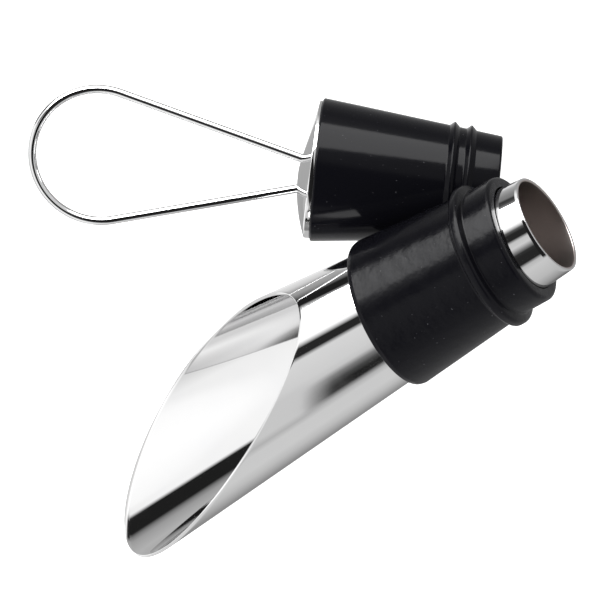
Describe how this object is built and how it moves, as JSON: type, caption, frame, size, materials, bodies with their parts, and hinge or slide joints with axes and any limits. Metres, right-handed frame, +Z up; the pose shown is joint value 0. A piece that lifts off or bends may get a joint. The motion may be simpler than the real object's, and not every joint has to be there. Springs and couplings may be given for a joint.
{
  "type": "bottle pouring spout with stopper",
  "caption": "Conical steel pouring spout with an oblique scoop mouth and a black rubber neck sleeve, lying with its tapered rubber stopper that has a domed cap and a wire loop.",
  "frame": {"origin": "centre of the bottom of the whole set's bounding box, on the surface that the set lies on", "axes": "+X from the scoop's tip towards the neck, seen from above; +Z up; +Y towards the stopper's loop"},
  "size_m": [0.0866, 0.0652, 0.037],
  "materials": {
    "spout_tube": "mirror polished",
    "spout_sleeve": "satin",
    "stopper_sheath": "semi-gloss",
    "stopper_core": "moulded",
    "stopper_cap": "mirror polished",
    "loop_handle": "polished wire"
  },
  "bodies": {
    "spout": {"spout_tube": "spout_tube", "spout_sleeve": "spout_sleeve"},
    "stopper": {"stopper_sheath": "stopper_sheath", "stopper_core": "stopper_core", "stopper_cap": "stopper_cap", "loop_handle": "loop_handle"}
  },
  "joints": [
    {"name": "stopper_slide", "type": "slide", "parent": "spout", "child": "stopper", "axis": [-0.7781, 0.6281, 0], "range_m": [0, 0.09]}
  ]
}
